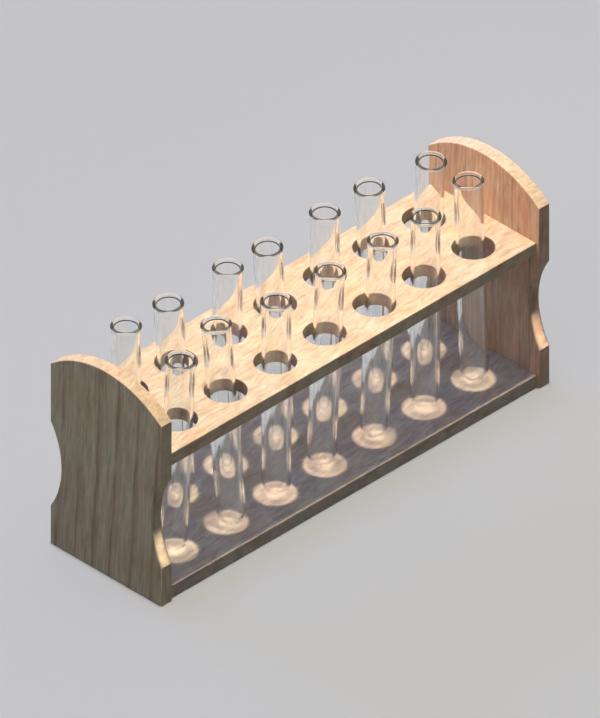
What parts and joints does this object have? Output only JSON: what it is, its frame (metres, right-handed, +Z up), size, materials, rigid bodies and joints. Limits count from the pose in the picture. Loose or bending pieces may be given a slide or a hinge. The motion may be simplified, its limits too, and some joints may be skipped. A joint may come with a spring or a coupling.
{
  "type": "test tube rack",
  "caption": "Wooden test tube rack with arched, waisted end panels, a drilled shelf and a base, holding loose round-bottom glass test tubes with beaded mouths in two rows.",
  "frame": {"origin": "middle of the rack's footprint, on the surface it stands on", "axes": "+X along the rack to the right end, +Y towards the back row, +Z up"},
  "size_m": [0.345, 0.0984, 0.1601],
  "materials": {
    "wood": "sanded, close-grained pale wood with pinkish-brown figure",
    "dowel_wood": "raw beech dowel",
    "glass": "clear, polished, colourless"
  },
  "bodies": {
    "rack": {"left_end_panel": "wood", "right_end_panel": "wood", "tube_shelf": "wood", "base_board": "wood", "shelf_dowel_left_front": "dowel_wood", "shelf_dowel_left_back": "dowel_wood", "shelf_dowel_right_front": "dowel_wood", "shelf_dowel_right_back": "dowel_wood", "base_dowel_left_front": "dowel_wood", "base_dowel_left_back": "dowel_wood", "base_dowel_right_front": "dowel_wood", "base_dowel_right_back": "dowel_wood"},
    "tube_front_1_body": {"test_tube_front_1": "glass"},
    "tube_front_2_body": {"test_tube_front_2": "glass"},
    "tube_front_3_body": {"test_tube_front_3": "glass"},
    "tube_front_4_body": {"test_tube_front_4": "glass"},
    "tube_front_5_body": {"test_tube_front_5": "glass"},
    "tube_front_6_body": {"test_tube_front_6": "glass"},
    "tube_front_7_body": {"test_tube_front_7": "glass"},
    "tube_back_1_body": {"test_tube_back_1": "glass"},
    "tube_back_2_body": {"test_tube_back_2": "glass"},
    "tube_back_3_body": {"test_tube_back_3": "glass"},
    "tube_back_4_body": {"test_tube_back_4": "glass"},
    "tube_back_5_body": {"test_tube_back_5": "glass"},
    "tube_back_6_body": {"test_tube_back_6": "glass"},
    "tube_back_7_body": {"test_tube_back_7": "glass"}
  },
  "joints": [
    {"name": "tube_front_1_lift", "type": "slide", "parent": "rack", "child": "tube_front_1_body", "axis": [0, 0, 1], "range_m": [0, 0.16]},
    {"name": "tube_front_2_lift", "type": "slide", "parent": "rack", "child": "tube_front_2_body", "axis": [0, 0, 1], "range_m": [0, 0.16]},
    {"name": "tube_front_3_lift", "type": "slide", "parent": "rack", "child": "tube_front_3_body", "axis": [0, 0, 1], "range_m": [0, 0.16]},
    {"name": "tube_front_4_lift", "type": "slide", "parent": "rack", "child": "tube_front_4_body", "axis": [0, 0, 1], "range_m": [0, 0.16]},
    {"name": "tube_front_5_lift", "type": "slide", "parent": "rack", "child": "tube_front_5_body", "axis": [0, 0, 1], "range_m": [0, 0.16]},
    {"name": "tube_front_6_lift", "type": "slide", "parent": "rack", "child": "tube_front_6_body", "axis": [0, 0, 1], "range_m": [0, 0.16]},
    {"name": "tube_front_7_lift", "type": "slide", "parent": "rack", "child": "tube_front_7_body", "axis": [0, 0, 1], "range_m": [0, 0.16]},
    {"name": "tube_back_1_lift", "type": "slide", "parent": "rack", "child": "tube_back_1_body", "axis": [0, 0, 1], "range_m": [0, 0.16]},
    {"name": "tube_back_2_lift", "type": "slide", "parent": "rack", "child": "tube_back_2_body", "axis": [0, 0, 1], "range_m": [0, 0.16]},
    {"name": "tube_back_3_lift", "type": "slide", "parent": "rack", "child": "tube_back_3_body", "axis": [0, 0, 1], "range_m": [0, 0.16]},
    {"name": "tube_back_4_lift", "type": "slide", "parent": "rack", "child": "tube_back_4_body", "axis": [0, 0, 1], "range_m": [0, 0.16]},
    {"name": "tube_back_5_lift", "type": "slide", "parent": "rack", "child": "tube_back_5_body", "axis": [0, 0, 1], "range_m": [0, 0.16]},
    {"name": "tube_back_6_lift", "type": "slide", "parent": "rack", "child": "tube_back_6_body", "axis": [0, 0, 1], "range_m": [0, 0.16]},
    {"name": "tube_back_7_lift", "type": "slide", "parent": "rack", "child": "tube_back_7_body", "axis": [0, 0, 1], "range_m": [0, 0.16]}
  ]
}
